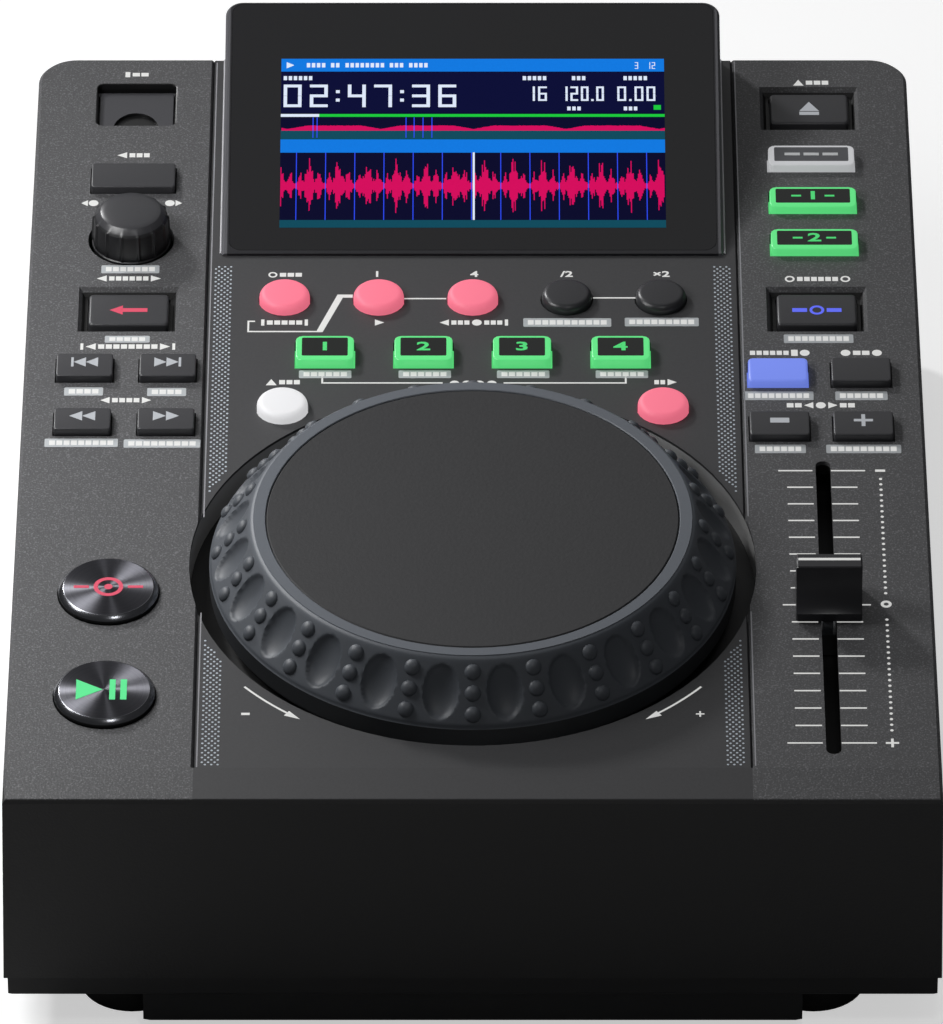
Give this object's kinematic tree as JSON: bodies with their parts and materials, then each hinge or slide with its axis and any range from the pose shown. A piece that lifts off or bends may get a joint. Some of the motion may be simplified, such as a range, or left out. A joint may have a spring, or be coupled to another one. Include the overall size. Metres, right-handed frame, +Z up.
{
  "type": "tabletop DJ media player",
  "caption": "Wedge-shaped tabletop DJ media player: sloping key panel, large jog wheel with touch disc, tempo fader, browse knob and a tilted display hood at the back.",
  "frame": {"origin": "on the table, at the centre of the player's footprint", "axes": "+X to the player's right as its user sees it, +Y to the back, towards the display and the sockets, +Z up"},
  "size_m": [0.2192, 0.298, 0.1052],
  "materials": {
    "case_plastic": "fine speckled grain",
    "cover_plastic": "fine grain",
    "foot_rubber": "matte",
    "hood_plastic": "satin",
    "window_plastic": "smoked and glossy",
    "screen": "lit screen",
    "key_plastic": "satin",
    "green_plastic": "lit from inside",
    "pink_plastic": "lit from inside",
    "white_plastic": "lit from inside",
    "blue_plastic": "lit from inside",
    "grey_plastic": "lit from inside",
    "spun_metal": "spun, dark",
    "jog_plastic": "satin",
    "jog_disc_plate": "fine matte",
    "steel": "turned",
    "bush_plastic": "moulded",
    "circuit_board": "lacquered",
    "switch_plastic": "moulded",
    "part_metal": "pressed",
    "plated_metal": "nickel plated",
    "pin_brass": "plated"
  },
  "bodies": {
    "case": {"top_shell": "case_plastic", "bottom_cover": "cover_plastic", "rubber_feet": "foot_rubber", "display_hood": "hood_plastic", "display_window": "window_plastic", "display_module": "screen", "key_boards": "circuit_board", "key_switches": "switch_plastic", "jog_well": "cover_plastic", "jog_bush": "bush_plastic", "jog_sensor": "switch_plastic", "fader_body": "part_metal", "encoder_body": "part_metal", "usb_socket": "part_metal", "power_inlet": "cover_plastic", "inlet_pins": "pin_brass", "switch_frame": "cover_plastic", "usb_b_port": "part_metal", "line_jacks": "plated_metal", "main_board": "circuit_board", "power_supply": "circuit_board"},
    "jog": {"jog_wheel": "jog_plastic", "jog_disc": "jog_disc_plate", "jog_spindle": "steel"},
    "fader": {"fader_lever": "steel", "fader_cap": "key_plastic"},
    "browse_push": {"encoder_plunger": "steel"},
    "browse_knob": {"encoder_shaft": "steel", "browse_knob": "key_plastic"},
    "usb_door": {"usb_door": "cover_plastic"},
    "power_rocker": {"power_rocker": "cover_plastic"},
    "back_key": {"back_key": "key_plastic"},
    "track_back_key": {"track_back_key": "key_plastic"},
    "track_next_key": {"track_next_key": "key_plastic"},
    "search_back_key": {"search_back_key": "key_plastic"},
    "search_next_key": {"search_next_key": "key_plastic"},
    "key_lock_key": {"key_lock_key": "blue_plastic"},
    "tempo_tap_key": {"tempo_tap_key": "key_plastic"},
    "pitch_minus_key": {"pitch_minus_key": "key_plastic"},
    "pitch_plus_key": {"pitch_plus_key": "key_plastic"},
    "settings_key": {"settings_key": "grey_plastic"},
    "usb_source_key": {"usb_source_key": "green_plastic"},
    "controller_key": {"controller_key": "green_plastic"},
    "hot_cue_1_key": {"hot_cue_1_key": "green_plastic"},
    "hot_cue_2_key": {"hot_cue_2_key": "green_plastic"},
    "hot_cue_3_key": {"hot_cue_3_key": "green_plastic"},
    "hot_cue_4_key": {"hot_cue_4_key": "green_plastic"},
    "direction_key": {"direction_key": "key_plastic"},
    "jog_mode_key": {"jog_mode_key": "key_plastic"},
    "eject_key": {"eject_key": "key_plastic"},
    "shift_button": {"shift_button": "white_plastic"},
    "slip_button": {"slip_button": "pink_plastic"},
    "cue_button": {"cue_button": "spun_metal"},
    "play_button": {"play_button": "spun_metal"},
    "loop_auto_button": {"loop_auto_button": "pink_plastic"},
    "loop_in_button": {"loop_in_button": "pink_plastic"},
    "loop_out_button": {"loop_out_button": "pink_plastic"},
    "loop_half_button": {"loop_half_button": "key_plastic"},
    "loop_double_button": {"loop_double_button": "key_plastic"}
  },
  "joints": [
    {"name": "jog_turn", "type": "hinge", "parent": "case", "child": "jog", "pos_m": [0, -0.06185, 0.07328], "axis": [0, -0.061, 0.9981], "continuous": true},
    {"name": "tempo_slide", "type": "slide", "parent": "case", "child": "fader", "axis": [0, 0.9981, 0.061], "range_m": [-0.05, 0.05]},
    {"name": "browse_press", "type": "slide", "parent": "case", "child": "browse_push", "axis": [0, 0.061, -0.9981], "range_m": [0, 0.0007], "stiffness_N_per_m": 1500, "springref_m": -0.0006},
    {"name": "browse_turn", "type": "hinge", "parent": "browse_push", "child": "browse_knob", "pos_m": [-0.08385, 0.06531, 0.08106], "axis": [0, -0.061, 0.9981], "continuous": true},
    {"name": "usb_flap", "type": "hinge", "parent": "case", "child": "usb_door", "pos_m": [-0.08385, 0.12836, 0.08221], "axis": [-1, 0, 0], "range_deg": [0, 95]},
    {"name": "power_switch", "type": "hinge", "parent": "case", "child": "power_rocker", "pos_m": [0.04, 0.14, 0.042], "axis": [1, 0, 0], "range_deg": [-8, 8]},
    {"name": "back_press", "type": "slide", "parent": "case", "child": "back_key", "axis": [0, 0.061, -0.9981], "range_m": [0, 0.0008], "stiffness_N_per_m": 800, "springref_m": -0.0005},
    {"name": "track_back_press", "type": "slide", "parent": "case", "child": "track_back_key", "axis": [0, 0.061, -0.9981], "range_m": [0, 0.0008], "stiffness_N_per_m": 800, "springref_m": -0.0005},
    {"name": "track_next_press", "type": "slide", "parent": "case", "child": "track_next_key", "axis": [0, 0.061, -0.9981], "range_m": [0, 0.0008], "stiffness_N_per_m": 800, "springref_m": -0.0005},
    {"name": "search_back_press", "type": "slide", "parent": "case", "child": "search_back_key", "axis": [0, 0.061, -0.9981], "range_m": [0, 0.0008], "stiffness_N_per_m": 800, "springref_m": -0.0005},
    {"name": "search_next_press", "type": "slide", "parent": "case", "child": "search_next_key", "axis": [0, 0.061, -0.9981], "range_m": [0, 0.0008], "stiffness_N_per_m": 800, "springref_m": -0.0005},
    {"name": "key_lock_press", "type": "slide", "parent": "case", "child": "key_lock_key", "axis": [0, 0.061, -0.9981], "range_m": [0, 0.0008], "stiffness_N_per_m": 800, "springref_m": -0.0005},
    {"name": "tempo_tap_press", "type": "slide", "parent": "case", "child": "tempo_tap_key", "axis": [0, 0.061, -0.9981], "range_m": [0, 0.0008], "stiffness_N_per_m": 800, "springref_m": -0.0005},
    {"name": "pitch_minus_press", "type": "slide", "parent": "case", "child": "pitch_minus_key", "axis": [0, 0.061, -0.9981], "range_m": [0, 0.0008], "stiffness_N_per_m": 800, "springref_m": -0.0005},
    {"name": "pitch_plus_press", "type": "slide", "parent": "case", "child": "pitch_plus_key", "axis": [0, 0.061, -0.9981], "range_m": [0, 0.0008], "stiffness_N_per_m": 800, "springref_m": -0.0005},
    {"name": "settings_press", "type": "slide", "parent": "case", "child": "settings_key", "axis": [0, 0.061, -0.9981], "range_m": [0, 0.0008], "stiffness_N_per_m": 800, "springref_m": -0.0005},
    {"name": "usb_source_press", "type": "slide", "parent": "case", "child": "usb_source_key", "axis": [0, 0.061, -0.9981], "range_m": [0, 0.0008], "stiffness_N_per_m": 800, "springref_m": -0.0005},
    {"name": "controller_press", "type": "slide", "parent": "case", "child": "controller_key", "axis": [0, 0.061, -0.9981], "range_m": [0, 0.0008], "stiffness_N_per_m": 800, "springref_m": -0.0005},
    {"name": "hot_cue_1_press", "type": "slide", "parent": "case", "child": "hot_cue_1_key", "axis": [0, 0.061, -0.9981], "range_m": [0, 0.0008], "stiffness_N_per_m": 800, "springref_m": -0.0005},
    {"name": "hot_cue_2_press", "type": "slide", "parent": "case", "child": "hot_cue_2_key", "axis": [0, 0.061, -0.9981], "range_m": [0, 0.0008], "stiffness_N_per_m": 800, "springref_m": -0.0005},
    {"name": "hot_cue_3_press", "type": "slide", "parent": "case", "child": "hot_cue_3_key", "axis": [0, 0.061, -0.9981], "range_m": [0, 0.0008], "stiffness_N_per_m": 800, "springref_m": -0.0005},
    {"name": "hot_cue_4_press", "type": "slide", "parent": "case", "child": "hot_cue_4_key", "axis": [0, 0.061, -0.9981], "range_m": [0, 0.0008], "stiffness_N_per_m": 800, "springref_m": -0.0005},
    {"name": "direction_press", "type": "slide", "parent": "case", "child": "direction_key", "axis": [0, 0.061, -0.9981], "range_m": [0, 0.0008], "stiffness_N_per_m": 800, "springref_m": -0.0005},
    {"name": "jog_mode_press", "type": "slide", "parent": "case", "child": "jog_mode_key", "axis": [0, 0.061, -0.9981], "range_m": [0, 0.0008], "stiffness_N_per_m": 800, "springref_m": -0.0005},
    {"name": "eject_press", "type": "slide", "parent": "case", "child": "eject_key", "axis": [0, 0.061, -0.9981], "range_m": [0, 0.0008], "stiffness_N_per_m": 800, "springref_m": -0.0005},
    {"name": "shift_press", "type": "slide", "parent": "case", "child": "shift_button", "axis": [0, 0.061, -0.9981], "range_m": [0, 0.0008], "stiffness_N_per_m": 800, "springref_m": -0.0005},
    {"name": "slip_press", "type": "slide", "parent": "case", "child": "slip_button", "axis": [0, 0.061, -0.9981], "range_m": [0, 0.0008], "stiffness_N_per_m": 800, "springref_m": -0.0005},
    {"name": "cue_press", "type": "slide", "parent": "case", "child": "cue_button", "axis": [0, 0.061, -0.9981], "range_m": [0, 0.0008], "stiffness_N_per_m": 800, "springref_m": -0.0005},
    {"name": "play_press", "type": "slide", "parent": "case", "child": "play_button", "axis": [0, 0.061, -0.9981], "range_m": [0, 0.0008], "stiffness_N_per_m": 800, "springref_m": -0.0005},
    {"name": "loop_auto_press", "type": "slide", "parent": "case", "child": "loop_auto_button", "axis": [0, 0.061, -0.9981], "range_m": [0, 0.0008], "stiffness_N_per_m": 800, "springref_m": -0.0005},
    {"name": "loop_in_press", "type": "slide", "parent": "case", "child": "loop_in_button", "axis": [0, 0.061, -0.9981], "range_m": [0, 0.0008], "stiffness_N_per_m": 800, "springref_m": -0.0005},
    {"name": "loop_out_press", "type": "slide", "parent": "case", "child": "loop_out_button", "axis": [0, 0.061, -0.9981], "range_m": [0, 0.0008], "stiffness_N_per_m": 800, "springref_m": -0.0005},
    {"name": "loop_half_press", "type": "slide", "parent": "case", "child": "loop_half_button", "axis": [0, 0.061, -0.9981], "range_m": [0, 0.0008], "stiffness_N_per_m": 800, "springref_m": -0.0005},
    {"name": "loop_double_press", "type": "slide", "parent": "case", "child": "loop_double_button", "axis": [0, 0.061, -0.9981], "range_m": [0, 0.0008], "stiffness_N_per_m": 800, "springref_m": -0.0005}
  ]
}
